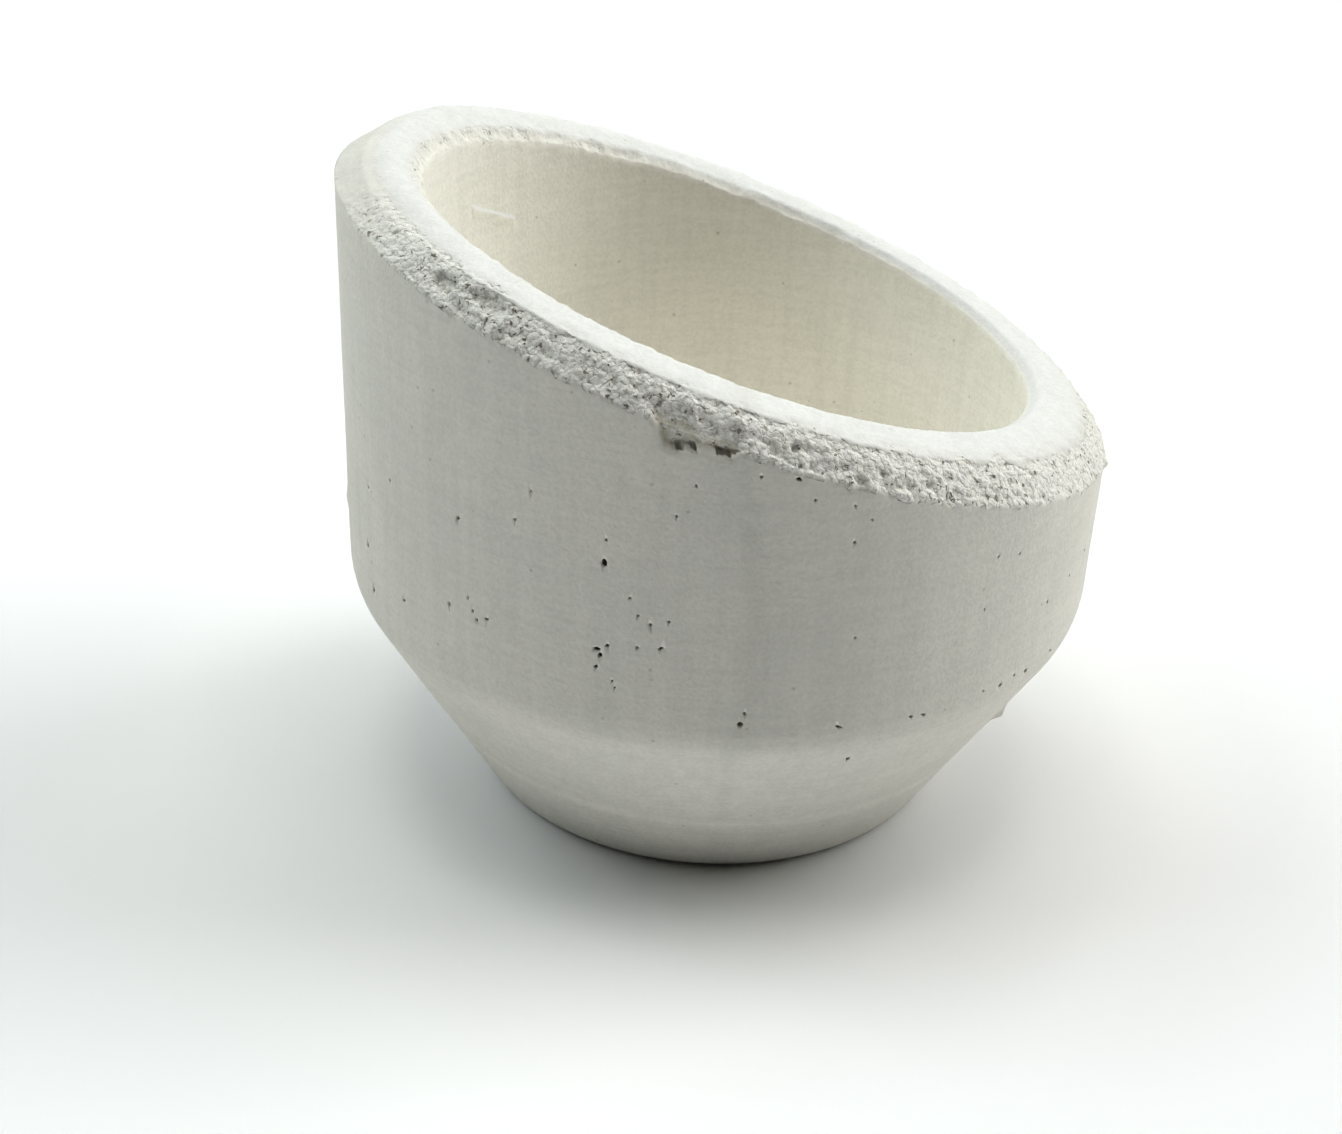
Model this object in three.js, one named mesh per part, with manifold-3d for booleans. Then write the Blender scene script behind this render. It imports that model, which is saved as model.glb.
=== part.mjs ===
import * as THREE from 'three';
import { mergeVertices } from 'three/addons/utils/BufferGeometryUtils.js';
import Module from 'manifold-3d';

const wasm = await Module();
wasm.setup();

// Melting crucible, one cast refractory piece. Millimetres, +Z up.
// The origin is the centre of the flat base. The slanted rim is lowest at +X and highest at -X.

// Outer form: flat base, cone, rounded shoulder, nearly upright wall.
const BASE_RADIUS = 19.1; // sharp corner of base and cone, before its fillet
const BASE_FILLET = 1.5;
const SHOULDER_RADIUS = 30; // sharp corner of cone and wall, before its fillet
const SHOULDER_HEIGHT = 18.3;
const SHOULDER_FILLET = 6;
const WALL_DRAFT_DEG = 0.5; // the wall opens outwards towards the rim

// Rim: one slanted plane, a broken-back outer bevel and a small worn inner edge.
const RIM_HEIGHT = 43.1; // where the slanted plane crosses the axis
const RIM_SLOPE_DEG = 18.9;
const BEVEL_INSET = 2.1; // bevel across the flat, at the front
const BEVEL_DROP = 2.5; // bevel down the wall, at the front
const BEVEL_LESS_SLOPE_DEG = 0.4; // under the rim's own slope: the bevel is widest at the high side
const INNER_EDGE = 0.75; // 45 degree worn edge, at the front
const INNER_EDGE_LESS_SLOPE_DEG = 1.1; // under the rim's own slope: the edge is widest at the high side

// Melt space.
const MOUTH_RADIUS = 23.7; // at the height where the rim plane crosses the axis
const MELT_DRAFT_DEG = 1.2;
const MELT_BOWL_RADIUS = 15;
const FLOOR_THICKNESS = 7;

// A flake lost from the front wall just under the bevel.
const FLAKE_WIDTH = 5.5;
const FLAKE_HEIGHT = 3;
const FLAKE_DEPTH = 0.45;
const FLAKE_ANGLE_DEG = 258; // around the axis, from +X towards +Y
const FLAKE_BELOW_BEVEL = 0.7; // its centre, below the foot of the bevel

// The largest blow-hole in the wall.
const PIT_RADIUS = 0.55;
const PIT_DEPTH = 0.5;
const PIT_ANGLE_DEG = 247.5;
const PIT_HEIGHT = 32.3;

const SEGMENTS = 112;
const FILLET_STEPS = 7;
const BOWL_STEPS = 12;
const CLEARANCE = 20; // how far a cutter runs past the blank

const rad = (degrees) => (degrees * Math.PI) / 180;

function toManifold(geometry) {
  const bare = geometry.clone();
  bare.deleteAttribute('uv');
  bare.deleteAttribute('normal');
  const merged = mergeVertices(bare.index ? bare.toNonIndexed() : bare, 1e-4);
  return new wasm.Manifold(new wasm.Mesh({
    numProp: 3,
    vertProperties: new Float32Array(merged.attributes.position.array),
    triVerts: new Uint32Array(merged.index.array),
  }));
}

function toGeometry(manifold) {
  const mesh = manifold.getMesh();
  const geometry = new THREE.BufferGeometry();
  geometry.setAttribute('position', new THREE.BufferAttribute(mesh.vertProperties, 3));
  geometry.setIndex(new THREE.BufferAttribute(mesh.triVerts, 1));
  geometry.computeVertexNormals();
  return geometry;
}

// Points of an arc that rounds the corner b between a and c.
function fillet(a, b, c, radius, steps) {
  const toA = a.clone().sub(b).normalize();
  const toC = c.clone().sub(b).normalize();
  const half = Math.acos(toA.dot(toC)) / 2;
  const centre = toA.clone().add(toC).normalize().multiplyScalar(radius / Math.sin(half)).add(b);
  const start = toA.clone().multiplyScalar(radius / Math.tan(half)).add(b).sub(centre);
  const end = toC.clone().multiplyScalar(radius / Math.tan(half)).add(b).sub(centre);
  const sweep = Math.atan2(start.cross(end), start.dot(end));
  const points = [];
  for (let i = 0; i <= steps; i += 1) {
    const turn = (sweep * i) / steps;
    points.push(start.clone().rotateAround(new THREE.Vector2(), turn).add(centre));
  }
  return points;
}

// A profile of (radius, height) points turned about +Z. It starts and ends on the axis.
function turned(points) {
  const geometry = new THREE.LatheGeometry(points, SEGMENTS);
  return geometry.rotateX(Math.PI / 2);
}

// Tilts every level so that it falls towards +X by the given angle, and keeps the plan view.
function slanted(geometry, slopeDegrees) {
  const shear = new THREE.Matrix4().set(
    1, 0, 0, 0,
    0, 1, 0, 0,
    -Math.tan(rad(slopeDegrees)), 0, 1, 0,
    0, 0, 0, 1,
  );
  return geometry.applyMatrix4(shear);
}

const vec = (r, z) => new THREE.Vector2(r, z);
const outerRadiusAt = (z) => SHOULDER_RADIUS + (z - SHOULDER_HEIGHT) * Math.tan(rad(WALL_DRAFT_DEG));
const meltRadiusAt = (z) => MOUTH_RADIUS + (z - RIM_HEIGHT) * Math.tan(rad(MELT_DRAFT_DEG));
const bevelSlope = RIM_SLOPE_DEG - BEVEL_LESS_SLOPE_DEG;
const innerEdgeSlope = RIM_SLOPE_DEG - INNER_EDGE_LESS_SLOPE_DEG;
const rimRise = outerRadiusAt(RIM_HEIGHT) * Math.tan(rad(RIM_SLOPE_DEG));
const blankTop = RIM_HEIGHT + rimRise + CLEARANCE;
const reach = SHOULDER_RADIUS + CLEARANCE; // radius that clears the blank

function outerBlank() {
  const centre = vec(0, 0);
  const base = vec(BASE_RADIUS, 0);
  const shoulder = vec(SHOULDER_RADIUS, SHOULDER_HEIGHT);
  const top = vec(outerRadiusAt(blankTop), blankTop);
  return turned([
    centre,
    ...fillet(centre, base, shoulder, BASE_FILLET, FILLET_STEPS),
    ...fillet(base, shoulder, top, SHOULDER_FILLET, FILLET_STEPS),
    top,
    vec(0, blankTop),
  ]);
}

function meltSpace() {
  const top = blankTop + CLEARANCE;
  const centre = vec(0, FLOOR_THICKNESS);
  const corner = vec(meltRadiusAt(FLOOR_THICKNESS), FLOOR_THICKNESS);
  const mouth = vec(meltRadiusAt(top), top);
  return turned([
    centre,
    ...fillet(centre, corner, mouth, MELT_BOWL_RADIUS, BOWL_STEPS),
    mouth,
    vec(0, top),
  ]);
}

// Everything above the slanted rim plane.
function aboveRim() {
  const height = blankTop;
  const block = new THREE.BoxGeometry(2 * reach, 2 * reach, height);
  block.translate(0, 0, RIM_HEIGHT + height / 2);
  return slanted(block, RIM_SLOPE_DEG);
}

// The cone that the bevel lies on: wide at the bottom, with its point above the rim.
function bevelCone() {
  const edge = outerRadiusAt(RIM_HEIGHT) - BEVEL_INSET;
  const risePerRadius = BEVEL_DROP / BEVEL_INSET;
  const point = RIM_HEIGHT + edge * risePerRadius;
  const foot = -reach;
  return slanted(turned([
    vec(0, foot),
    vec((point - foot) / risePerRadius, foot),
    vec(0, point),
  ]), bevelSlope);
}

// The cone that the worn inner edge lies on: point down, inside the melt space.
function innerEdgeCone() {
  const edge = MOUTH_RADIUS + INNER_EDGE;
  return slanted(turned([
    vec(0, RIM_HEIGHT - edge),
    vec(edge + CLEARANCE, RIM_HEIGHT + CLEARANCE),
    vec(0, RIM_HEIGHT + CLEARANCE),
  ]), innerEdgeSlope);
}

// Height of the bevel's foot on the wall, at an angle around the axis.
function bevelFootAt(angleDegrees) {
  const x = outerRadiusAt(RIM_HEIGHT) * Math.cos(rad(angleDegrees));
  return RIM_HEIGHT - BEVEL_DROP - x * Math.tan(rad(bevelSlope));
}

// A rounded hollow in the wall: an ellipsoid that sinks the given depth below the wall face.
function wallHollow(width, height, depth, bulge, angleDegrees, z) {
  const sink = bulge - depth;
  const grow = Math.sqrt(1 - (sink / bulge) ** 2); // share of the ellipsoid's width at the wall face
  const ball = new THREE.SphereGeometry(1, 24, 16);
  ball.scale(bulge, width / 2 / grow, height / 2 / grow);
  ball.translate(outerRadiusAt(z) + sink, 0, z);
  return ball.rotateZ(rad(angleDegrees));
}

const flakeHeight = bevelFootAt(FLAKE_ANGLE_DEG) - FLAKE_BELOW_BEVEL;
const flake = wallHollow(
  FLAKE_WIDTH, FLAKE_HEIGHT, FLAKE_DEPTH, 3 * FLAKE_DEPTH, FLAKE_ANGLE_DEG, flakeHeight,
);
const pit = wallHollow(
  2 * PIT_RADIUS, 2 * PIT_RADIUS, PIT_DEPTH, 1.5 * PIT_DEPTH, PIT_ANGLE_DEG, PIT_HEIGHT,
);

const body = toManifold(outerBlank())
  .intersect(toManifold(bevelCone()))
  .subtract(toManifold(meltSpace()))
  .subtract(toManifold(innerEdgeCone()))
  .subtract(toManifold(aboveRim()))
  .subtract(toManifold(flake))
  .subtract(toManifold(pit));

const crucible = new THREE.Mesh(
  toGeometry(body),
  new THREE.MeshStandardMaterial({ color: 0xc8c4b8, roughness: 0.9, metalness: 0 }),
);
crucible.name = 'crucible';

const group = new THREE.Group();
group.name = 'melting_crucible';
group.add(crucible);

export default group;
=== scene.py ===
import math
import random

import bpy
from mathutils import Euler, Matrix, Vector, noise


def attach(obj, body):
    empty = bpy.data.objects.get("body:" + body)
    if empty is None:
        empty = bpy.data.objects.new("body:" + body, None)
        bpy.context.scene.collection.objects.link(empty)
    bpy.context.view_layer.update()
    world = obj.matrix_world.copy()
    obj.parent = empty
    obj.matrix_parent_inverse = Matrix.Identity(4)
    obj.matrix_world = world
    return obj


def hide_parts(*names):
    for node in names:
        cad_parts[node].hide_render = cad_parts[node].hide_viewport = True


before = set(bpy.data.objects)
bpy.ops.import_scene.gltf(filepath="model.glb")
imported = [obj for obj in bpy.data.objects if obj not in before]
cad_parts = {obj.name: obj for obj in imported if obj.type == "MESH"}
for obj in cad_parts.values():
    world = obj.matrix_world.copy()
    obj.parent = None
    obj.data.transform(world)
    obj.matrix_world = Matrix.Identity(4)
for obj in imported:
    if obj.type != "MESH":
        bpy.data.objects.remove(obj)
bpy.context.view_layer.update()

MM = 0.001

# The crucible's own sizes, in millimetres.
BASE_RADIUS = 19.1
BASE_FILLET = 1.5
SHOULDER_RADIUS = 30.0
SHOULDER_HEIGHT = 18.3
SHOULDER_FILLET = 6.0
WALL_DRAFT = math.radians(0.5)
RIM_HEIGHT = 43.1
RIM_SLOPE = math.radians(18.9)
BEVEL_INSET = 2.1
BEVEL_DROP = 2.5
BEVEL_SLOPE = math.radians(18.5)
INNER_EDGE = 0.75
MOUTH_RADIUS = 23.7
MELT_DRAFT = math.radians(1.2)
MELT_BOWL_RADIUS = 15.0
FLOOR_THICKNESS = 7.0

# Steps of the spin, and rows of its section, closest where the skin is broken.
SPIN_STEPS = 760
BASE_ARC_ROWS = 5
CONE_ROWS = 18
SHOULDER_ROWS = 7
WALL_ROWS = 27
FOOT_ROWS = 7  # of the wall just under the bevel
FOOT_SHARE = 0.13  # of the wall's height
BEVEL_ROWS = 14
FLAT_ROWS = 9
EDGE_ROWS = 5
MOUTH_ROWS = 6  # of the melt wall just under the inner edge
MOUTH_SHARE = 0.15  # of the melt wall's height
MELT_ROWS = 10
BOWL_ROWS = 9

# The cage that slants the rim: levels one bevel drop apart, the top one on the rim.
SLANT_LEVELS = 9
CAGE_HALF = 35.0
CAGE_COLUMNS = 29


def deselect_all():
    if bpy.context.object and bpy.context.object.mode != "OBJECT":
        bpy.ops.object.mode_set(mode="OBJECT")
    bpy.ops.object.select_all(action="DESELECT")


def make_active(piece):
    deselect_all()
    piece.select_set(True)
    bpy.context.view_layer.objects.active = piece


def apply_modifier(piece, modifier):
    make_active(piece)
    bpy.ops.object.modifier_apply(modifier=modifier.name)


# ---------------------------------------------------------------- profile

def wall_radius(height):
    return SHOULDER_RADIUS + (height - SHOULDER_HEIGHT) * math.tan(WALL_DRAFT)


def melt_radius(height):
    return MOUTH_RADIUS + (height - RIM_HEIGHT) * math.tan(MELT_DRAFT)


# How widely the wall and cone lines blend, so that the result follows the shoulder's fillet.
SHOULDER_ROUND = 1.3


def section_radius(height):
    """Outer radius of the body at a height: the wall and cone lines, blended round the shoulder."""
    wall = wall_radius(height)
    cone = BASE_RADIUS + height * (SHOULDER_RADIUS - BASE_RADIUS) / SHOULDER_HEIGHT
    blend = max(0.0, 1 - abs(wall - cone) / SHOULDER_ROUND)
    return min(wall, cone) - blend ** 3 * SHOULDER_ROUND / 6


def straight(start, end, steps):
    """Points from start to end, without start."""
    return [Vector(start).lerp(Vector(end), i / steps) for i in range(1, steps + 1)]


def rounded(before, corner, after, radius, steps):
    """Points of the arc that rounds a corner."""
    before, corner, after = Vector(before), Vector(corner), Vector(after)
    to_before = (before - corner).normalized()
    to_after = (after - corner).normalized()
    half = math.acos(max(-1.0, min(1.0, to_before.dot(to_after)))) / 2
    middle = corner + (to_before + to_after).normalized() * (radius / math.sin(half))
    first = corner + to_before * (radius / math.tan(half)) - middle
    last = corner + to_after * (radius / math.tan(half)) - middle
    sweep = math.atan2(first.x * last.y - first.y * last.x, first.dot(last))
    points = []
    for i in range(steps + 1):
        turn = sweep * i / steps
        points.append(middle + Vector((
            first.x * math.cos(turn) - first.y * math.sin(turn),
            first.x * math.sin(turn) + first.y * math.cos(turn),
        )))
    return points


def level_profile():
    """The whole section, from the middle of the base round to the middle of the bowl,
    with the rim still level. (radius, height) in millimetres."""
    base_mid, base = (0.0, 0.0), (BASE_RADIUS, 0.0)
    shoulder = (SHOULDER_RADIUS, SHOULDER_HEIGHT)
    bevel_foot_height = RIM_HEIGHT - BEVEL_DROP
    bevel_foot = (wall_radius(bevel_foot_height), bevel_foot_height)
    flat_outer = (wall_radius(RIM_HEIGHT) - BEVEL_INSET, RIM_HEIGHT)
    flat_inner = (MOUTH_RADIUS + INNER_EDGE, RIM_HEIGHT)
    edge_foot = (melt_radius(RIM_HEIGHT - INNER_EDGE), RIM_HEIGHT - INNER_EDGE)
    bowl_mid = (0.0, FLOOR_THICKNESS)
    bowl_corner = (melt_radius(FLOOR_THICKNESS), FLOOR_THICKNESS)

    base_arc = rounded(base_mid, base, shoulder, BASE_FILLET, BASE_ARC_ROWS)
    shoulder_arc = rounded(base, shoulder, bevel_foot, SHOULDER_FILLET, SHOULDER_ROWS)
    bowl_arc = rounded(edge_foot, bowl_corner, bowl_mid, MELT_BOWL_RADIUS, BOWL_ROWS)

    points = [Vector(base_mid), Vector((5.0, 0.0)), Vector((13.0, 0.0))]
    points += base_arc
    points += straight(base_arc[-1], shoulder_arc[0], CONE_ROWS)
    points += shoulder_arc[1:]
    near_foot = Vector(bevel_foot).lerp(shoulder_arc[-1], FOOT_SHARE)
    points += straight(shoulder_arc[-1], near_foot, WALL_ROWS)
    points += straight(near_foot, bevel_foot, FOOT_ROWS)
    points += straight(bevel_foot, flat_outer, BEVEL_ROWS)
    points += straight(flat_outer, flat_inner, FLAT_ROWS)
    points += straight(flat_inner, edge_foot, EDGE_ROWS)
    near_mouth = Vector(edge_foot).lerp(bowl_arc[0], MOUTH_SHARE)
    points += straight(edge_foot, near_mouth, MOUTH_ROWS)
    points += straight(near_mouth, bowl_arc[0], MELT_ROWS)
    points += bowl_arc[1:]
    points += [Vector((4.0, FLOOR_THICKNESS)), Vector(bowl_mid)]
    return points


# ---------------------------------------------------------------- body

def spin_body():
    """One vertex is extruded along the section and the section is spun about the axis."""
    points = [Vector((p.x, 0.0, p.y)) * MM for p in level_profile()]
    deselect_all()
    bpy.ops.mesh.primitive_plane_add(size=1.0)
    body = bpy.context.object
    body.name = "crucible_body"
    body.data.name = "crucible_body"
    bpy.ops.object.mode_set(mode="EDIT")
    bpy.ops.mesh.merge(type="CENTER")
    bpy.ops.transform.translate(value=points[0])
    for here, there in zip(points, points[1:]):
        bpy.ops.mesh.extrude_region_move(TRANSFORM_OT_translate={"value": there - here})
    bpy.ops.mesh.select_all(action="SELECT")
    bpy.ops.mesh.spin(steps=SPIN_STEPS, angle=2 * math.pi, center=(0, 0, 0), axis=(0, 0, 1))
    bpy.ops.mesh.select_all(action="SELECT")
    bpy.ops.mesh.remove_doubles(threshold=0.01 * MM)
    bpy.ops.mesh.normals_make_consistent(inside=False)
    bpy.ops.object.mode_set(mode="OBJECT")
    return body


def slant_rim(body):
    """A cage round the upper wall tilts the rim and gives the bevel its own slope."""
    bottom = RIM_HEIGHT - (SLANT_LEVELS - 1) * BEVEL_DROP
    deselect_all()
    bpy.ops.object.add(type="LATTICE", location=(0, 0, (bottom + RIM_HEIGHT) / 2 * MM))
    cage = bpy.context.object
    cage.scale = (2 * CAGE_HALF * MM, 2 * CAGE_HALF * MM, (RIM_HEIGHT - bottom) * MM)
    cage.data.points_u, cage.data.points_v, cage.data.points_w = CAGE_COLUMNS, 2, SLANT_LEVELS
    for axis in ("u", "v", "w"):
        setattr(cage.data, "interpolation_type_" + axis, "KEY_LINEAR")
    foot_level = SLANT_LEVELS - 2
    for index, point in enumerate(cage.data.points):
        level = index // (CAGE_COLUMNS * 2)
        x = point.co.x * 2 * CAGE_HALF
        slope = math.tan(BEVEL_SLOPE) * min(level, foot_level) / foot_level
        if level > foot_level:
            slope = math.tan(RIM_SLOPE)
        point.co_deform.z = point.co.z - x * slope / (RIM_HEIGHT - bottom)
    modifier = body.modifiers.new("slant", "LATTICE")
    modifier.object = cage
    bpy.context.view_layer.update()
    apply_modifier(body, modifier)
    bpy.data.objects.remove(cage)


# ---------------------------------------------------------------- zones of the skin

def radius_of(p):
    return math.hypot(p.x, p.y)


def turn_of(p):
    """Angle round the axis in degrees, from +X towards +Y."""
    return math.degrees(math.atan2(p.y, p.x)) % 360


def turn_gap(a, b):
    """Signed angle from b to a, in degrees."""
    return (a - b + 180) % 360 - 180


def ease(value, low, high):
    """0 below low, 1 above high, smooth between."""
    t = max(0.0, min(1.0, (value - low) / (high - low)))
    return t * t * (3 - 2 * t)


def along(points, place):
    """The value at a place on a line of (place, value) points, in rising order of place."""
    for (start, start_value), (end, end_value) in zip(points, points[1:]):
        if place <= end:
            share = max(0.0, (place - start) / (end - start))
            return start_value + (end_value - start_value) * share
    return points[-1][1]


def below_rim(p):
    """Distance straight down from the rim plane."""
    return RIM_HEIGHT - p.x * math.tan(RIM_SLOPE) - p.z


def bevel_foot(x):
    """How far below the rim plane the bevel meets the wall."""
    return BEVEL_DROP + x * (math.tan(BEVEL_SLOPE) - math.tan(RIM_SLOPE))


# How coarse the broken grain of the bevel is round the rim: (angle, share). The high side is worn
# smooth, the low side is a little finer than the front.
GRAIN_ROUND_RIM = [(0, 0.55), (60, 0.8), (120, 0.7), (160, 0.12), (188, 0.12), (197, 0.4), (213, 0.65),
                   (220, 0.85), (250, 0.85), (262, 1.0), (300, 1.0), (318, 0.65), (360, 0.55)]

RIM_OUTSIDE = 27.0  # only the bevel, the outer wall and the flat's outer part are this far out
BEVEL_REACH = 4.5  # below the rim plane, past any of the broken grain
FLAKE_LIFTS_BEVEL = 0.4  # the broken grain ends this much higher over the flake


def bevel_share(p):
    """How broken the bevel is, fading raggedly into the wall and the flat."""
    below, turn = below_rim(p), turn_of(p)
    if radius_of(p) < RIM_OUTSIDE or below > BEVEL_REACH:
        return 0.0
    ragged = 0.30 * noise.noise(p * 0.7) + 0.30 * noise.noise(p * 2.1)
    from_top = ease(below + 0.6 * ragged, -0.1, 0.75)
    over_flake = ease(turn, 252.5, 254.5) * (1 - ease(turn, 263, 266))
    foot = bevel_foot(p.x) - FLAKE_LIFTS_BEVEL * over_flake
    from_foot = 1 - ease(below + ragged, foot - 0.1, foot + 0.4)
    return from_top * from_foot * along(GRAIN_ROUND_RIM, turn)


def edge_share(p):
    """1 on the worn inner edge, widest at the high side of the rim."""
    below = below_rim(p)
    if radius_of(p) > 26.2 or below > 3.0:
        return 0.0
    high = 0.25 + 0.65 * ease(-p.x, -10, 20)
    gap = math.hypot(radius_of(p) - MOUTH_RADIUS - 0.4, 0.7 * (below - 0.45))
    return high * (1 - ease(gap + 0.35 * noise.noise(p * 1.3), 0.35, 1.05))


def inside_share(p):
    """1 on the wall and floor of the melt space."""
    if p.z < FLOOR_THICKNESS - 0.5 or below_rim(p) < 0.3:
        return 0.0
    return 1 - ease(radius_of(p) - melt_radius(p.z), 0.1, 0.5)


def flat_share(p):
    """1 on the flat of the rim."""
    if not MOUTH_RADIUS - 0.5 < radius_of(p) < SHOULDER_RADIUS:
        return 0.0
    return (1 - ease(abs(below_rim(p)), 0.3, 0.9)) * (1 - bevel_share(p))


# The mould seam runs up the front: (height, angle) where it passes.
SEAM = [(0.0, 265.0), (8.5, 265.2), (16.8, 265.3), (19.5, 266.9), (24.0, 267.9), (30.5, 267.6),
        (39.5, 265.3), (43.0, 264.9)]
SEAM_MIDDLE = 266.0
SEAM_REACH = 8.0  # degrees on either side of the middle
SEAM_HALF_WIDTH = 0.95


def seam_share(p):
    """1 on the line of the mould seam, uneven and fading along its length."""
    if radius_of(p) < BASE_RADIUS - BASE_FILLET or p.z < 0.5 or inside_share(p):
        return 0.0
    if abs(turn_gap(turn_of(p), SEAM_MIDDLE)) > SEAM_REACH:
        return 0.0
    across = math.radians(turn_gap(turn_of(p), along(SEAM, p.z))) * radius_of(p)
    across += 0.5 * noise.noise(Vector((0.0, 3.0, p.z * 0.45)))
    width = SEAM_HALF_WIDTH * (1.0 + 0.6 * noise.noise(Vector((5.0, 0.0, p.z * 0.35))))
    strength = 0.75 + 0.5 * noise.noise(p * 0.5) - 0.35 * (1 - ease(p.z, 8, 20))
    return max(0.0, strength * (1 - ease(abs(across), 0, 1.9 * width)) * (1 - bevel_share(p)))


# The flake lost from the front wall: (angle, height) along its lower outline, and its depth.
FLAKE_OUTLINE = [(253.2, 43.9), (254.4, 42.1), (255.4, 41.35), (257.2, 41.45), (259.7, 41.8),
                 (262.1, 41.25), (263.9, 41.2), (265.2, 42.0)]
FLAKE_DEPTH = 0.5


def flake_share(p):
    """1 on the face left by the lost flake, between its lower outline and the bevel."""
    turn = turn_of(p)
    if radius_of(p) < RIM_OUTSIDE or not FLAKE_OUTLINE[0][0] < turn < FLAKE_OUTLINE[-1][0]:
        return 0.0
    inwards = p.z - along(FLAKE_OUTLINE, turn) + 0.35 * noise.noise(p * 1.7)
    return ease(inwards, -0.05, 0.35) * ease(below_rim(p), 0.4 * BEVEL_DROP, BEVEL_DROP)


DEEPEST_HOLE = 2.0
BASE_ZONE = 3.0  # height of the zone of the base fillet


def wall_share(p):
    """1 on the outside of the wall and the cone, down into the blow-holes too."""
    outside = radius_of(p) > section_radius(p.z) - DEEPEST_HOLE
    under_bevel = below_rim(p) > bevel_foot(p.x) + 0.1
    return 1.0 if outside and under_bevel and p.z > BASE_ZONE else 0.0


# How much of the broken grain's look the inner edge and the flake have.
EDGE_BROKEN = 0.5
FLAKE_BROKEN = 0.42


def mark_zones(body):
    """Stores the shares of the surface zones at each point of the finished shape."""
    body.data.color_attributes.new("zones", "FLOAT_COLOR", "POINT")
    body.data.attributes.new("outer_wall", "FLOAT", "POINT")
    body.data.attributes.new("flaked", "FLOAT", "POINT")
    zones, outer_wall, flaked = [body.data.attributes[name] for name in ("zones", "outer_wall", "flaked")]
    for vertex in body.data.vertices:
        p = vertex.co / MM
        flake = flake_share(p)
        broken = max(bevel_share(p), EDGE_BROKEN * edge_share(p), FLAKE_BROKEN * flake)
        zones.data[vertex.index].color = (broken, seam_share(p), flat_share(p), inside_share(p))
        outer_wall.data[vertex.index].value = wall_share(p)
        flaked.data[vertex.index].value = flake


# ---------------------------------------------------------------- wear and grain

LEAST_WEIGHT = 0.001


def weight_group(body, name, weight_of):
    """A vertex group whose weights come from a function of the position in mm. Returns its name."""
    group = body.vertex_groups.new(name=name)
    for vertex in body.data.vertices:
        weight = weight_of(vertex.co / MM)
        if weight > LEAST_WEIGHT:
            group.add([vertex.index], weight, "REPLACE")
    return name


def push(body, group, depth, texture=None, direction="NORMAL"):
    """Moves the group by depth in mm along its normals, outwards where positive, or along an axis."""
    modifier = body.modifiers.new(group, "DISPLACE")
    modifier.vertex_group = group
    modifier.strength = depth * MM
    modifier.direction = direction
    modifier.mid_level = 0.0
    if texture:
        modifier.texture = texture
        modifier.texture_coords = "LOCAL"
        modifier.mid_level = 0.5
    apply_modifier(body, modifier)


def clouds(name, size, depth, contrast=1.0):
    """Soft noise of the given size in mm."""
    texture = bpy.data.textures.new(name, "CLOUDS")
    texture.noise_scale = size * MM
    texture.noise_depth = depth
    texture.noise_basis = "ORIGINAL_PERLIN"
    texture.contrast = contrast
    return texture


def grains(name, size, contrast):
    """Round cells of the given size in mm."""
    texture = bpy.data.textures.new(name, "VORONOI")
    texture.noise_scale = size * MM
    texture.contrast = contrast
    return texture


# Shallow hollows of the outside: angle round the axis, height, half width, half height, depth.
HOLLOWS = [
    (257.1, 41.8, 0.8, 0.5, 0.20),
    (262.1, 41.5, 1.0, 0.4, 0.20),
    (250.4, 39.0, 0.7, 0.75, 0.10),
]

# Grains that stand out of the skin: angle, height, half width, half height, height above the skin.
STANDING_GRAINS = [
    (321.3, 12.4, 0.45, 0.4, 0.40),
    (321.5, 3.9, 0.40, 0.4, 0.35),
    (183.4, 24.6, 0.30, 0.35, 0.25),
    (340.8, 30.9, 0.80, 0.6, 0.30),
    (318.0, 14.6, 0.30, 0.3, 0.20),
]

# Deeper losses in the bevel itself: angle, distance below the rim plane, half sizes, depth.
BEVEL_MIDDLE = 29.0
BEVEL_LOSSES = [
    (220.5, 1.4, 1.5, 0.7, 0.55),
    (228.0, 1.0, 1.8, 0.6, 0.55),
    (224.0, 2.2, 1.2, 0.5, 0.3),
    (268.5, 1.9, 0.4, 0.28, 0.32),
    (271.5, 1.4, 0.3, 0.25, 0.28),
    (274.0, 2.1, 0.45, 0.28, 0.32),
    (277.5, 1.6, 0.4, 0.25, 0.30),
    (280.5, 2.1, 0.4, 0.30, 0.35),
    (284.0, 1.5, 0.4, 0.25, 0.30),
    (287.5, 2.0, 0.4, 0.28, 0.30),
    (291.0, 1.7, 0.4, 0.25, 0.30),
    (295.0, 1.9, 0.35, 0.25, 0.25),
]


# The bevel sags round the high side, opposite this angle.
SAG_OPPOSITE = 6.0

# The inner edge is worn down round this angle, in from this radius and this far below the rim plane.
WORN_EDGE_MIDDLE = 125.0
WORN_EDGE_RADIUS = 26.8
WORN_EDGE_REACH = 5.0


def spot(across, up, ragged, inner, outer):
    """1 in the middle of a spot, 0 past its ragged outline. across and up are 1 at the outline."""
    return 1 - ease(math.hypot(across, up) + ragged, inner, outer)


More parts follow.
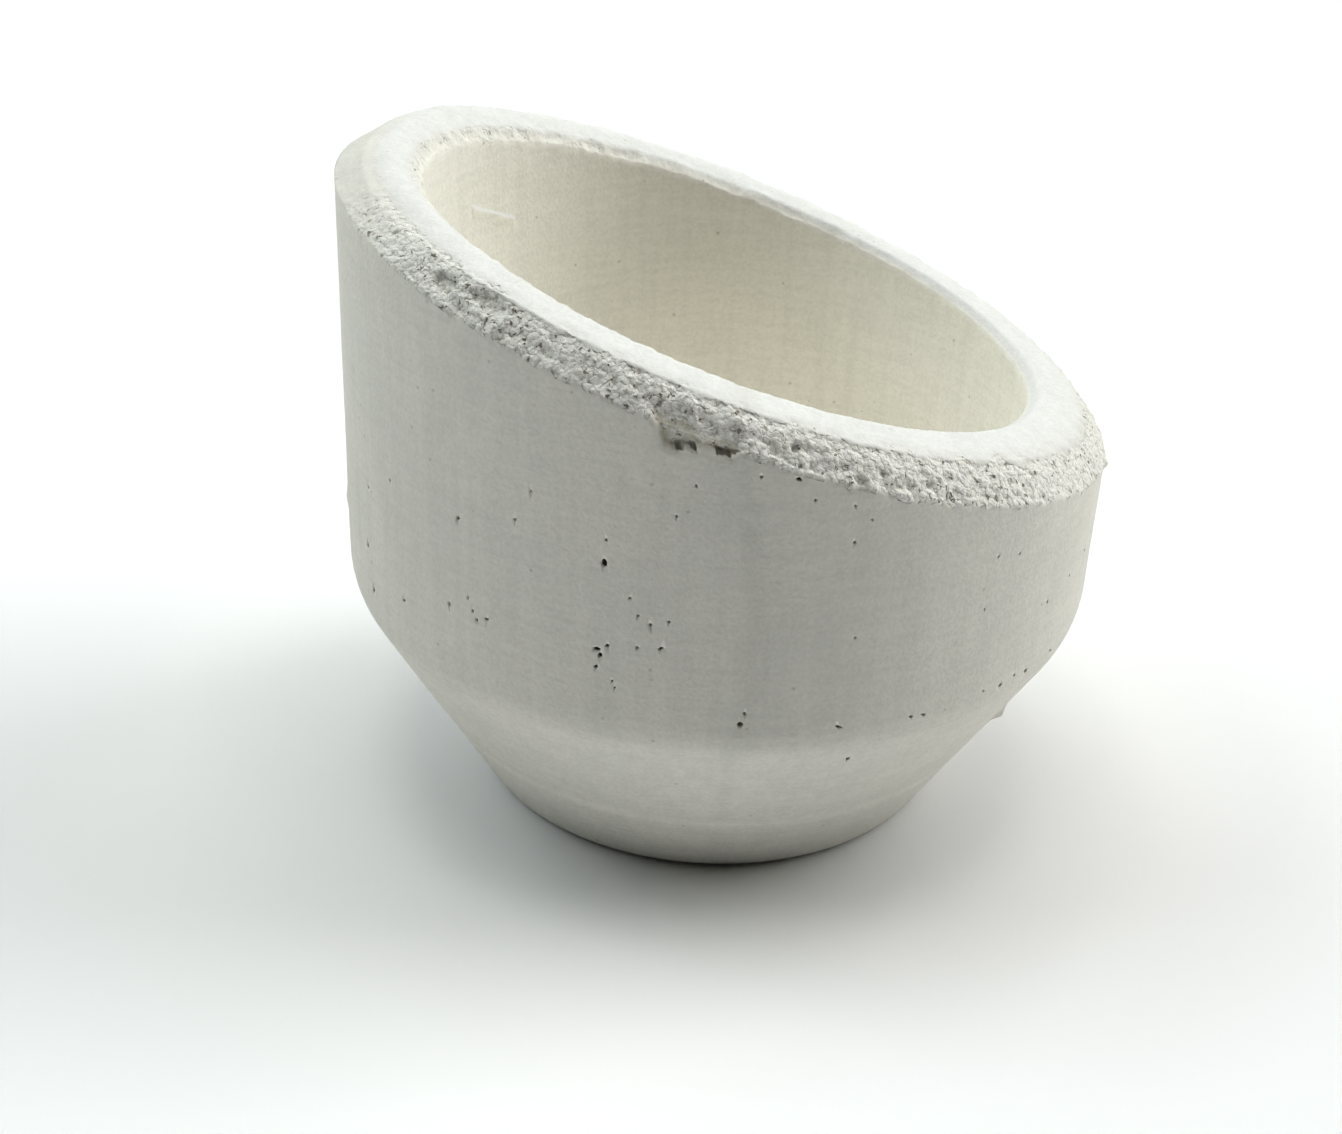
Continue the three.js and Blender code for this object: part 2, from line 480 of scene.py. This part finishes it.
def hollow_depth(p):
    """Depth in mm of the hollows of the wall and the losses of the bevel."""
    if radius_of(p) < RIM_OUTSIDE and p.z > SHOULDER_HEIGHT:
        return 0.0
    deepest = 0.0
    for angle, height, half_width, half_height, depth in HOLLOWS:
        across = math.radians(turn_gap(turn_of(p), angle)) * SHOULDER_RADIUS / half_width
        up = (p.z - height) / half_height
        deepest = max(deepest, depth * spot(across, up, 0.25 * noise.noise(p * 1.1), 0.55, 1.05))
    for angle, below, half_width, half_height, depth in BEVEL_LOSSES:
        across = math.radians(turn_gap(turn_of(p), angle)) * BEVEL_MIDDLE / half_width
        up = (below_rim(p) - below) / half_height
        deepest = max(deepest, depth * spot(across, up, 0.3 * noise.noise(p * 1.6), 0.5, 1.1))
    return deepest


def standing_rise(p):
    """Height in mm of the grains that stand out of the skin."""
    highest = 0.0
    if radius_of(p) < BASE_RADIUS - 0.1 or inside_share(p):
        return highest
    for angle, height, half_width, half_height, rise in STANDING_GRAINS:
        across = math.radians(turn_gap(turn_of(p), angle)) * radius_of(p) / half_width
        up = (p.z - height) / half_height
        highest = max(highest, rise * spot(across, up, 0, 0.2, 1.1))
    return highest


def sag_depth(p):
    """Depth in mm of the sag of the bevel's upper part at the high side."""
    below = below_rim(p)
    if below > bevel_foot(p.x) or radius_of(p) < MOUTH_RADIUS + 0.3:
        return 0.0
    high = ease(-math.cos(math.radians(turn_gap(turn_of(p), SAG_OPPOSITE))), 0.72, 1.0)
    return high * ease(radius_of(p), 25.2, 28.6) * (1 - below / bevel_foot(p.x))


def corner_share(p):
    """1 on the corner of the flat and the bevel."""
    gap = math.hypot(radius_of(p) - wall_radius(RIM_HEIGHT) + BEVEL_INSET, below_rim(p))
    return (1 - ease(gap, 0.1, 1.3)) * (0.8 + 0.5 * noise.noise(p * 0.7))


def worn_edge_share(p):
    """1 where the inner edge of the far side is worn down."""
    below = below_rim(p)
    if below > WORN_EDGE_REACH or radius_of(p) > WORN_EDGE_RADIUS:
        return 0.0
    far = 1 - ease(abs(turn_gap(turn_of(p), WORN_EDGE_MIDDLE)), 50, 95)
    foot = ease(WORN_EDGE_RADIUS - radius_of(p), 0, 3.1) * (1 - ease(below, 0.8, 4.0))
    return far * foot * (0.85 + 0.6 * noise.noise(p * 0.7))


def shape_wear(body):
    """The flake, hollows and losses, standing grains, seam, and the sagging and worn parts of the rim."""
    push(body, weight_group(body, "flake", flake_share), -FLAKE_DEPTH)
    push(body, weight_group(body, "hollows", hollow_depth), -1.0)
    push(body, weight_group(body, "standing", standing_rise), 1.0)
    push(body, weight_group(body, "seam", seam_share), -0.04)
    push(body, weight_group(body, "sag", sag_depth), -1.0, direction="Z")
    push(body, weight_group(body, "worn_corner", corner_share), -0.28)
    push(body, weight_group(body, "worn_edge", worn_edge_share), -0.45, direction="Z")


def wave_share(p):
    """1 on the outside, less on the inside and the flat, and 0 on the base, which stays flat."""
    return ease(p.z, 0.2, 2.0) * (0.3 if inside_share(p) or flat_share(p) else 1.0)


def roughen(body):
    """Coarse broken grain on the bevel and inner edge, and a slight unevenness elsewhere."""
    bevel = weight_group(body, "bevel_grain", bevel_share)
    push(body, bevel, 0.42, clouds("bevel_lumps", 1.1, 2, contrast=1.3))
    push(body, bevel, -0.30, grains("bevel_grains", 0.52, contrast=1.5))
    push(body, bevel, 0.16, clouds("bevel_grit", 0.35, 1, contrast=1.4))
    edge = weight_group(body, "edge_grain", edge_share)
    push(body, edge, 0.38, clouds("edge_lumps", 0.9, 2, contrast=1.2))
    push(body, edge, -0.14, grains("edge_grains", 0.6, contrast=1.2))
    wall = weight_group(body, "wall_wave", wave_share)
    push(body, wall, 0.10, clouds("wall_wave", 9.0, 1))
    push(body, wall, 0.035, clouds("wall_grain", 0.9, 2))


# ---------------------------------------------------------------- blow-holes

# Blow-holes of the outside: angle round the axis, height, width, tallness, depth, all in mm.
PITS = [
    (247.5, 32.3, 0.62, 0.85, 0.55),
    (247.7, 34.1, 0.30, 0.35, 0.25),
    (224.8, 32.4, 0.42, 0.45, 0.30),
    (234.6, 34.0, 0.24, 0.30, 0.20),
    (201.5, 29.8, 0.45, 0.40, 0.30),
    (200.4, 24.6, 0.55, 0.60, 0.35),
    (209.4, 32.2, 0.30, 0.30, 0.20),
    (202.2, 21.2, 0.70, 0.70, 0.45),
    (212.3, 22.9, 0.50, 0.35, 0.30),
    (222.8, 25.0, 0.35, 0.65, 0.32),
    (226.5, 26.3, 0.22, 0.45, 0.22),
    (227.3, 25.4, 0.30, 0.40, 0.25),
    (228.1, 24.8, 0.40, 0.40, 0.30),
    (229.8, 25.2, 0.55, 0.30, 0.30),
    (246.8, 25.4, 0.75, 0.45, 0.45),
    (248.2, 25.8, 0.45, 0.35, 0.35),
    (247.2, 24.9, 0.45, 0.55, 0.40),
    (246.7, 23.9, 0.45, 0.40, 0.35),
    (252.3, 26.0, 0.35, 0.35, 0.25),
    (255.5, 26.2, 0.55, 0.30, 0.30),
    (254.0, 28.0, 0.35, 0.30, 0.25),
    (256.4, 28.4, 0.30, 0.30, 0.25),
    (252.3, 28.6, 0.30, 0.30, 0.20),
    (251.1, 29.9, 0.30, 0.30, 0.20),
    (237.0, 36.5, 0.25, 0.25, 0.20),
    (280.1, 19.8, 0.80, 0.28, 0.35),
    (291.2, 19.5, 0.45, 0.28, 0.30),
    (293.2, 19.4, 0.55, 0.30, 0.30),
    (304.1, 19.6, 0.35, 0.30, 0.25),
    (307.8, 19.4, 0.55, 0.40, 0.35),
    (310.9, 19.6, 0.45, 0.35, 0.30),
    (313.9, 19.3, 0.60, 0.45, 0.40),
    (321.4, 19.3, 0.45, 0.40, 0.30),
    (283.2, 16.0, 0.45, 0.40, 0.30),
    (281.3, 27.1, 0.30, 0.28, 0.20),
    (280.0, 34.7, 0.35, 0.35, 0.25),
    (303.4, 31.0, 0.35, 0.30, 0.25),
    (307.9, 30.5, 0.30, 0.30, 0.20),
    (302.0, 26.9, 0.28, 0.30, 0.20),
    (317.5, 24.5, 0.40, 0.40, 0.30),
    (324.6, 25.1, 0.35, 0.30, 0.25),
    (331.5, 25.6, 0.40, 0.35, 0.25),
    (249.0, 23.0, 0.28, 0.26, 0.20),
    (249.4, 22.5, 0.24, 0.24, 0.18),
    (256.8, 36.6, 0.28, 0.30, 0.20),
    (259.1, 39.0, 0.24, 0.34, 0.20),
    (267.2, 39.9, 0.34, 0.26, 0.22),
    (279.6, 37.5, 0.30, 0.30, 0.20),
    (282.1, 36.3, 0.28, 0.28, 0.20),
    (274.3, 38.1, 0.28, 0.28, 0.20),
    (293.1, 36.8, 0.75, 0.45, 0.35),
    (278.6, 39.5, 0.65, 0.40, 0.35),
    (272.0, 39.7, 0.55, 0.40, 0.35),
    (266.5, 20.4, 0.55, 0.55, 0.30),
    (267.0, 21.3, 0.30, 0.40, 0.22),
]

# The back has the same cast skin, with drawn blow-holes: many in the wall, the rest on the shoulder.
BACK_PITS = 46
BACK_FROM, BACK_TO = -24, 196  # angles
WALL_PITS_SHARE = 0.6
SHOULDER_PITS = (18.6, 20.4)  # heights
PIT_SEED = 11

# Factors on all the listed widths and heights, and on all the listed depths.
PIT_SIZE = 0.8
PIT_DEEPER = 1.15

# The cutting balls are uneven and tilted: least and most radius, and the largest tilt in radians.
PIT_ROUGHNESS = (0.72, 1.2)
PIT_TILT = 0.7
PIT_SINK = 0.15  # share of the depth by which the ball's middle lies inside the skin


def pit_list():
    """The blow-holes of PITS and those drawn for the back."""
    pits = list(PITS)
    draw = random.Random(PIT_SEED)
    for _ in range(BACK_PITS):
        angle = draw.uniform(BACK_FROM, BACK_TO)
        rim = RIM_HEIGHT - SHOULDER_RADIUS * math.cos(math.radians(angle)) * math.tan(RIM_SLOPE)
        in_wall = draw.random() < WALL_PITS_SHARE
        height = draw.uniform(8, rim - 6) if in_wall else draw.uniform(*SHOULDER_PITS)
        size = 0.25 + 0.45 * draw.random() ** 2
        pits.append((angle, height, size * draw.uniform(0.9, 1.5), size, size * 0.7))
    return pits


def cut_pits(body):
    """Small irregular balls, joined into one cutter, are taken out of the wall."""
    draw = random.Random(PIT_SEED + 1)
    balls = []
    for angle, height, width, tall, depth in pit_list():
        turn = math.radians(angle)
        radius = section_radius(height)
        deselect_all()
        bpy.ops.mesh.primitive_ico_sphere_add(subdivisions=2, radius=1.0)
        ball = bpy.context.object
        for vertex in ball.data.vertices:
            vertex.co *= draw.uniform(*PIT_ROUGHNESS)
        sink = PIT_SINK * depth
        depth *= PIT_DEEPER
        ball.scale = Vector((depth - sink, width * PIT_SIZE / 2, tall * PIT_SIZE / 2)) * MM
        ball.rotation_euler = Euler((draw.uniform(-PIT_TILT, PIT_TILT), 0, turn))
        ball.location = Vector((math.cos(turn), math.sin(turn), 0)) * (radius - sink) * MM
        ball.location.z = height * MM
        balls.append(ball)
    deselect_all()
    for ball in balls:
        ball.select_set(True)
    bpy.context.view_layer.objects.active = balls[0]
    bpy.ops.object.join()
    bpy.ops.object.transform_apply(location=True, rotation=True, scale=True)
    cutter = bpy.context.object
    modifier = body.modifiers.new("pits", "BOOLEAN")
    modifier.operation = "DIFFERENCE"
    modifier.solver = "EXACT"
    modifier.object = cutter
    apply_modifier(body, modifier)
    bpy.data.objects.remove(cutter)


# ---------------------------------------------------------------- materials

def new_material(name, color):
    material = bpy.data.materials.new(name)
    material.use_nodes = True
    material.diffuse_color = (*color, 1)
    shader = material.node_tree.nodes["Principled BSDF"]
    shader.inputs["Base Color"].default_value = (*color, 1)
    return material, material.node_tree, shader


def add_node(tree, kind, **settings):
    """A shader node with its properties set."""
    made = tree.nodes.new("ShaderNode" + kind)
    for name, value in settings.items():
        setattr(made, name, value)
    return made


def feed(tree, socket, source):
    """Links a socket to another node's output, or gives it a plain value."""
    if isinstance(source, bpy.types.NodeSocket):
        tree.links.new(source, socket)
    else:
        socket.default_value = source


def math_node(tree, operation, a, b=0.0):
    made = add_node(tree, "Math", operation=operation)
    feed(tree, made.inputs[0], a)
    feed(tree, made.inputs[1], b)
    return made.outputs[0]


def step_up(tree, value, low, high, to_low=0.0, to_high=1.0):
    """Smooth step of a value from low to high."""
    made = add_node(tree, "MapRange", interpolation_type="SMOOTHSTEP")
    for socket, source in zip(("Value", "From Min", "From Max", "To Min", "To Max"),
                              (value, low, high, to_low, to_high)):
        feed(tree, made.inputs[socket], source)
    return made.outputs["Result"]


def mix_color(tree, factor, a, b):
    """a where the factor is 0 and b where it is 1. Each is a colour or a socket."""
    made = add_node(tree, "Mix", data_type="RGBA")
    feed(tree, made.inputs["Factor"], factor)
    feed(tree, made.inputs[6], (*a, 1) if isinstance(a, tuple) else a)
    feed(tree, made.inputs[7], (*b, 1) if isinstance(b, tuple) else b)
    return made.outputs[2]


def noise_at(tree, vector, per_mm, detail=2.0, roughness=0.5):
    made = add_node(tree, "TexNoise")
    feed(tree, made.inputs["Vector"], vector)
    made.inputs["Scale"].default_value = per_mm
    made.inputs["Detail"].default_value = detail
    made.inputs["Roughness"].default_value = roughness
    return made.outputs["Fac"]


def cells_at(tree, vector, per_mm):
    """Distance to the nearest of scattered points."""
    made = add_node(tree, "TexVoronoi", feature="F1")
    feed(tree, made.inputs["Vector"], vector)
    made.inputs["Scale"].default_value = per_mm
    return made.outputs["Distance"]


def new_group(name, outputs):
    """A node group that takes a place in mm and gives the named values."""
    group = bpy.data.node_groups.new(name, "ShaderNodeTree")
    group.interface.new_socket(name="Place", in_out="INPUT", socket_type="NodeSocketVector")
    for output in outputs:
        group.interface.new_socket(name=output, in_out="OUTPUT", socket_type="NodeSocketFloat")
    return group, group.nodes.new("NodeGroupInput"), group.nodes.new("NodeGroupOutput")


def group_at(tree, group, place):
    made = add_node(tree, "Group")
    made.node_tree = group
    feed(tree, made.inputs["Place"], place)
    return made


def attribute(tree, name):
    return add_node(tree, "Attribute", attribute_name=name)


def product(tree, a, b):
    return math_node(tree, "MULTIPLY", a, b)


def total(tree, a, b):
    return math_node(tree, "ADD", a, b)


def parts_of(tree, place):
    """The x, y and z of a place."""
    made = add_node(tree, "SeparateXYZ")
    feed(tree, made.inputs[0], place)
    return made.outputs["X"], made.outputs["Y"], made.outputs["Z"]


def broken_grain_group():
    """Broken refractory: packed round grains with holes between them, and painted shade for the holes and
    the gaps between grains. Heights are in mm.
    """
    group, inside, outside = new_group("broken grain", ("Height", "Painted Shade", "Faces"))
    place = inside.outputs["Place"]
    wobble = add_node(group, "TexNoise")
    feed(group, wobble.inputs["Vector"], place)
    wobble.inputs["Scale"].default_value = 2.4
    bend = add_node(group, "VectorMath", operation="MULTIPLY_ADD")
    feed(group, bend.inputs[0], wobble.outputs["Color"])
    bend.inputs[1].default_value = (0.30, 0.30, 0.30)
    feed(group, bend.inputs[2], place)
    bent = bend.outputs[0]
    cells = cells_at(group, bent, 2.6)
    grit = noise_at(group, bent, 5.5, 3.0, 0.6)
    domes = product(group, product(group, cells, cells), -0.16)
    height = total(group, domes, product(group, grit, 0.10))
    holes = step_up(group, noise_at(group, bent, 1.9, 2.5, 0.6), 0.62, 0.70)
    height = math_node(group, "SUBTRACT", height, product(group, holes, 0.12))
    gaps = step_up(group, cells, 0.66, 0.95)
    # Painted shade: the holes and the gaps between grains are darkened in colour, as the bump casts no
    # shadow into them.
    hole_and_gap_shade = math_node(group, "MAXIMUM", holes, product(group, gaps, 0.4))
    feed(group, outside.inputs["Height"], height)
    feed(group, outside.inputs["Painted Shade"], hole_and_gap_shade)
    feed(group, outside.inputs["Faces"], step_up(group, grit, 0.40, 0.60))
    return group


def stretched_noise(tree, place, stretch, roughness):
    """Noise at a place that is first scaled along each axis."""
    made = add_node(tree, "Mapping")
    made.inputs["Scale"].default_value = stretch
    feed(tree, made.inputs["Vector"], place)
    return noise_at(tree, made.outputs["Vector"], 1.0, 3.0, roughness)


def cast_skin_group():
    """The skin left by the mould: fine grain, level drag lines, upright streaks and cloudy tone."""
    group, inside, outside = new_group("cast skin", ("Height", "Tone", "Cloud"))
    place = inside.outputs["Place"]
    fine = noise_at(group, place, 3.2, 3.0, 0.6)
    lines = stretched_noise(group, place, (0.22, 0.22, 1.9), 0.6)
    streaks = stretched_noise(group, place, (0.9, 0.9, 0.06), 0.55)
    height = total(group, product(group, fine, 0.055), product(group, lines, 0.05))
    tone = total(group, product(group, fine, 0.5), product(group, lines, 0.25))
    tone = total(group, tone, product(group, streaks, 0.25))
    feed(group, outside.inputs["Height"], height)
    feed(group, outside.inputs["Tone"], tone)
    feed(group, outside.inputs["Cloud"], noise_at(group, place, 0.11, 3.0, 0.5))
    return group


# A scratch inside, under the high side, painted near-white as its own pale mark and a painted highlight:
# (angle, height) of its ends.
SCRATCH_START = (132.6, 40.45)
SCRATCH_END = (147.9, 42.95)
SCRATCH_HALF_WIDTH = 0.16
SCRATCH_FOOT = 1.5  # the skin swells this far below the scratch


def scratch_line(tree, place, inside_zone):
    """A scratch in the melt space that climbs with the angle round the axis: where it lies, and its
    height. It is a small ledge, so that its upper side catches the light."""
    x, y, z = parts_of(tree, place)
    angle = math_node(tree, "ARCTAN2", y, x)
    run = math_node(tree, "SUBTRACT", angle, math.radians(SCRATCH_START[0]))
    run = product(tree, run, 1 / math.radians(SCRATCH_END[0] - SCRATCH_START[0]))
    line = total(tree, product(tree, run, SCRATCH_END[1] - SCRATCH_START[1]), SCRATCH_START[1])
    line = total(tree, line, product(tree, noise_at(tree, place, 0.35), 0.9))
    above = math_node(tree, "SUBTRACT", z, line)
    ends = product(tree, step_up(tree, run, 0.0, 0.12), step_up(tree, run, 1.0, 0.93))
    ends = product(tree, ends, inside_zone)
    on_line = step_up(tree, math_node(tree, "ABSOLUTE", above), 0.24, 0.06)
    swell = step_up(tree, above, -SCRATCH_FOOT, -SCRATCH_HALF_WIDTH)
    drop = step_up(tree, above, SCRATCH_HALF_WIDTH, -SCRATCH_HALF_WIDTH)
    return product(tree, on_line, ends), product(tree, product(tree, swell, drop), ends)


def depth_in_wall(tree, place):
    """How far a point lies inside the outer section in mm, as section_radius has it."""
    flat = add_node(tree, "VectorMath", operation="MULTIPLY")
    feed(tree, flat.inputs[0], place)
    flat.inputs[1].default_value = (1, 1, 0)
    radius = add_node(tree, "VectorMath", operation="LENGTH")
    feed(tree, radius.inputs[0], flat.outputs[0])
    height = parts_of(tree, place)[2]
    wall = total(tree, product(tree, height, math.tan(WALL_DRAFT)), wall_radius(0))
    cone = product(tree, height, (SHOULDER_RADIUS - BASE_RADIUS) / SHOULDER_HEIGHT)
    cone = total(tree, cone, BASE_RADIUS)
    section = add_node(tree, "Math", operation="SMOOTH_MIN")
    feed(tree, section.inputs[0], wall)
    feed(tree, section.inputs[1], cone)
    section.inputs[2].default_value = SHOULDER_ROUND
    return math_node(tree, "SUBTRACT", section.outputs[0], radius.outputs["Value"])


def hole_shade_mask(tree, place, flake):
    """Mask of the painted shade in the blow-holes: 1 inside them, and less in the deeper bits of the
    flake.
    """
    depth = math_node(tree, "SUBTRACT", depth_in_wall(tree, place), product(tree, flake, FLAKE_DEPTH))
    strength = math_node(tree, "SUBTRACT", attribute(tree, "outer_wall").outputs["Fac"],
                         product(tree, flake, 0.65))
    return product(tree, step_up(tree, depth, 0.15, 0.25), strength)


def skin_color(tree, place, skin, seam_zone, flat_zone, inside_zone, scratch_and_highlight):
    """Colour of the cast skin, with its seam, specks and flake; the melt space painted as a lighter copy
    of the skin, standing in for light; the scratch painted near-white, its own pale mark and a painted
    highlight; and painted shade in the blow-holes.
    """
    cloudy = step_up(tree, skin.outputs["Cloud"], 0.35, 0.65)
    color = mix_color(tree, cloudy, (0.84, 0.82, 0.765), (0.815, 0.80, 0.75))
    color = mix_color(tree, flat_zone, color, (0.86, 0.855, 0.83))
    # Painted light: the melt space gets a lighter copy of the skin colour, standing in for the light
    # inside it.
    color = mix_color(tree, inside_zone, color, (0.96, 0.94, 0.88))
    seam_tone = step_up(tree, seam_zone, 0.0, 1.0, 0.0, 0.30)
    color = mix_color(tree, seam_tone, color, (0.68, 0.67, 0.62))
    toned = add_node(tree, "VectorMath", operation="SCALE")
    feed(tree, toned.inputs[0], color)
    feed(tree, toned.inputs["Scale"], step_up(tree, skin.outputs["Tone"], 0.30, 0.70, 0.93, 1.05))
    specks = step_up(tree, cells_at(tree, place, 0.42), 0.03, 0.08, 0.35, 0.0)
    color = mix_color(tree, specks, toned.outputs[0], (0.42, 0.38, 0.31))
    # The scratch is painted near-white: partly its own pale mark, partly a painted highlight on its lit
    # upper side.
    color = mix_color(tree, scratch_and_highlight, color, (1.0, 1.0, 0.98))
    flake = attribute(tree, "flaked").outputs["Fac"]
    color = mix_color(tree, product(tree, flake, 0.6), color, (0.62, 0.58, 0.46))
    # Painted shade: the blow-holes are darkened in colour to a dark brown.
    return mix_color(tree, hole_shade_mask(tree, place, flake), color, (0.20, 0.175, 0.14))


def grain_color(tree, grain, broken):
    """Colour of the broken grain: chalky faces, and painted shade in the holes and the gaps between
    grains.
    """
    faces = mix_color(tree, grain.outputs["Faces"], (0.90, 0.885, 0.83), (0.97, 0.96, 0.93))
    # Painted shade, warm brown, in the holes and the gaps between grains.
    return mix_color(tree, product(tree, grain.outputs["Painted Shade"], broken), faces, (0.42, 0.37, 0.29))


def refractory_material():
    """Chalky cast refractory: a smooth cast skin outside and in, and broken grain where the zones say."""
    material, tree, shader = new_material("refractory", (0.86, 0.84, 0.78))
    shader.inputs["Specular IOR Level"].default_value = 0.2
    coords = add_node(tree, "TexCoord")
    in_mm = add_node(tree, "VectorMath", operation="SCALE")
    feed(tree, in_mm.inputs[0], coords.outputs["Object"])
    in_mm.inputs["Scale"].default_value = 1 / MM
    place = in_mm.outputs[0]
    zones = attribute(tree, "zones")
    split = add_node(tree, "SeparateColor")
    feed(tree, split.inputs[0], zones.outputs["Color"])
    rough_zone, seam_zone, flat_zone = split.outputs[0], split.outputs[1], split.outputs[2]
    inside_zone = zones.outputs["Alpha"]

    grain = group_at(tree, broken_grain_group(), place)
    skin = group_at(tree, cast_skin_group(), place)
    ragged = math_node(tree, "SUBTRACT", noise_at(tree, place, 1.6, 3.0, 0.6), 0.5)
    broken = step_up(tree, total(tree, rough_zone, ragged), 0.30, 0.62)
    scratch_and_highlight, ledge = scratch_line(tree, place, inside_zone)

    smooth = skin_color(tree, place, skin, seam_zone, flat_zone, inside_zone, scratch_and_highlight)
    color = mix_color(tree, broken, smooth, grain_color(tree, grain, broken))
    feed(tree, shader.inputs["Base Color"], color)
    feed(tree, shader.inputs["Roughness"], step_up(tree, skin.outputs["Tone"], 0.3, 0.7, 0.82, 0.95))

    height = add_node(tree, "Mix", data_type="FLOAT")
    feed(tree, height.inputs["Factor"], broken)
    feed(tree, height.inputs[2], total(tree, skin.outputs["Height"], product(tree, ledge, 0.10)))
    feed(tree, height.inputs[3], grain.outputs["Height"])
    bump = add_node(tree, "Bump")
    bump.inputs["Distance"].default_value = MM
    bump.inputs["Strength"].default_value = 1.0
    feed(tree, bump.inputs["Height"], height.outputs[0])
    feed(tree, shader.inputs["Normal"], bump.outputs[0])
    return material


def floor_material():
    """Plain white paper."""
    material, _, shader = new_material("floor_paper", (0.955, 0.955, 0.96))
    shader.inputs["Roughness"].default_value = 0.85
    shader.inputs["Specular IOR Level"].default_value = 0.2
    return material


# ---------------------------------------------------------------- staging

def make_floor():
    deselect_all()
    bpy.ops.mesh.primitive_plane_add(size=8.0, location=(0, 0, 0))
    floor = bpy.context.object
    floor.name = "floor"
    floor.data.materials.append(floor_material())


# Soft panels round the crucible: name, azimuth (0 in front, 90 at the right), elevation, width,
# height, power, colour.
PANELS = [
    ("ceiling", 0, 88, 1.2, 1.2, 13.7, (0.98, 0.955, 0.87)),
    ("window_back_left", -140, 65, 1.2, 1.0, 7.0, (0.93, 0.98, 1.0)),
    ("window_back_right", 140, 65, 1.2, 1.0, 5.5, (0.88, 0.95, 1.0)),
    ("wall_back_left", -140, 20, 1.2, 0.8, 7.5, (0.95, 1.0, 0.98)),
    ("window_left", -100, 45, 1.2, 1.0, 10.0, (0.83, 0.94, 1.0)),
    ("wall_left", -100, 18, 1.2, 0.7, 2.4, (1.0, 0.9, 0.7)),
    ("window_right", 100, 45, 1.2, 1.0, 12.5, (0.95, 0.95, 1.0)),
    ("wall_right", 100, 18, 1.2, 0.7, 14.0, (0.98, 1.0, 0.92)),
]
PANEL_DISTANCE = 2.0
PANEL_AIM = (0, 0, 0.02)
WORLD_STRENGTH = 0.01
VIEW_GAMMA = 0.75  # a contrasty, over-exposed daylight look


def direction(azimuth, elevation):
    """Unit vector from the crucible towards an azimuth and elevation in degrees."""
    a, e = math.radians(azimuth), math.radians(elevation)
    return Vector((math.sin(a) * math.cos(e), -math.cos(a) * math.cos(e), math.sin(e)))


def area_light(name, azimuth, elevation, width, height, power, color):
    """A soft panel that faces the crucible."""
    away = direction(azimuth, elevation)
    light = bpy.data.lights.new(name, "AREA")
    light.shape = "RECTANGLE"
    light.size, light.size_y = width, height
    light.energy = power
    light.color = color
    panel = bpy.data.objects.new(name, light)
    panel.location = Vector(PANEL_AIM) + away * PANEL_DISTANCE
    panel.rotation_euler = away.to_track_quat("Z", "Y").to_euler()
    bpy.context.scene.collection.objects.link(panel)


def light_scene():
    for panel in PANELS:
        area_light(*panel)
    world = bpy.data.worlds.new("studio")
    bpy.context.scene.world = world
    world.use_nodes = True
    background = world.node_tree.nodes["Background"]
    background.inputs["Color"].default_value = (1, 1, 1, 1)
    background.inputs["Strength"].default_value = WORLD_STRENGTH
    view = bpy.context.scene.view_settings
    view.view_transform = "Standard"
    view.gamma = VIEW_GAMMA


# Distances and places in millimetres, angles in degrees.
CAMERA_AZIMUTH = -7.91
CAMERA_ELEVATION = 26.877
CAMERA_DISTANCE = 175.31
CAMERA_PIVOT = (0.0, 0.0, 22.5)
CAMERA_AIM = (-3.71, 0.0, 17.33)
CAMERA_ROLL = 2.5
CAMERA_LENS = 57.286
CAMERA_SHIFT = (-0.00055, -0.0055)


def make_camera():
    place = Vector(CAMERA_PIVOT) + direction(CAMERA_AZIMUTH, CAMERA_ELEVATION) * CAMERA_DISTANCE
    look = (Vector(CAMERA_AIM) - place).to_track_quat("-Z", "Y").to_matrix()
    turn = look @ Matrix.Rotation(math.radians(CAMERA_ROLL), 3, "Z")
    lens = bpy.data.cameras.new("camera")
    lens.lens = CAMERA_LENS
    lens.sensor_width = 36
    lens.shift_x, lens.shift_y = CAMERA_SHIFT
    lens.clip_start = 0.01
    camera = bpy.data.objects.new("camera", lens)
    camera.location = place * MM
    camera.rotation_euler = turn.to_euler()
    bpy.context.scene.collection.objects.link(camera)
    bpy.context.scene.camera = camera


# ---------------------------------------------------------------- build

make_camera()
light_scene()
make_floor()

body = spin_body()
slant_rim(body)
shape_wear(body)
roughen(body)
cut_pits(body)
mark_zones(body)
body.data.materials.clear()
body.data.materials.append(refractory_material())
make_active(body)
bpy.ops.object.shade_smooth()
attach(body, "root")
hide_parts("crucible")
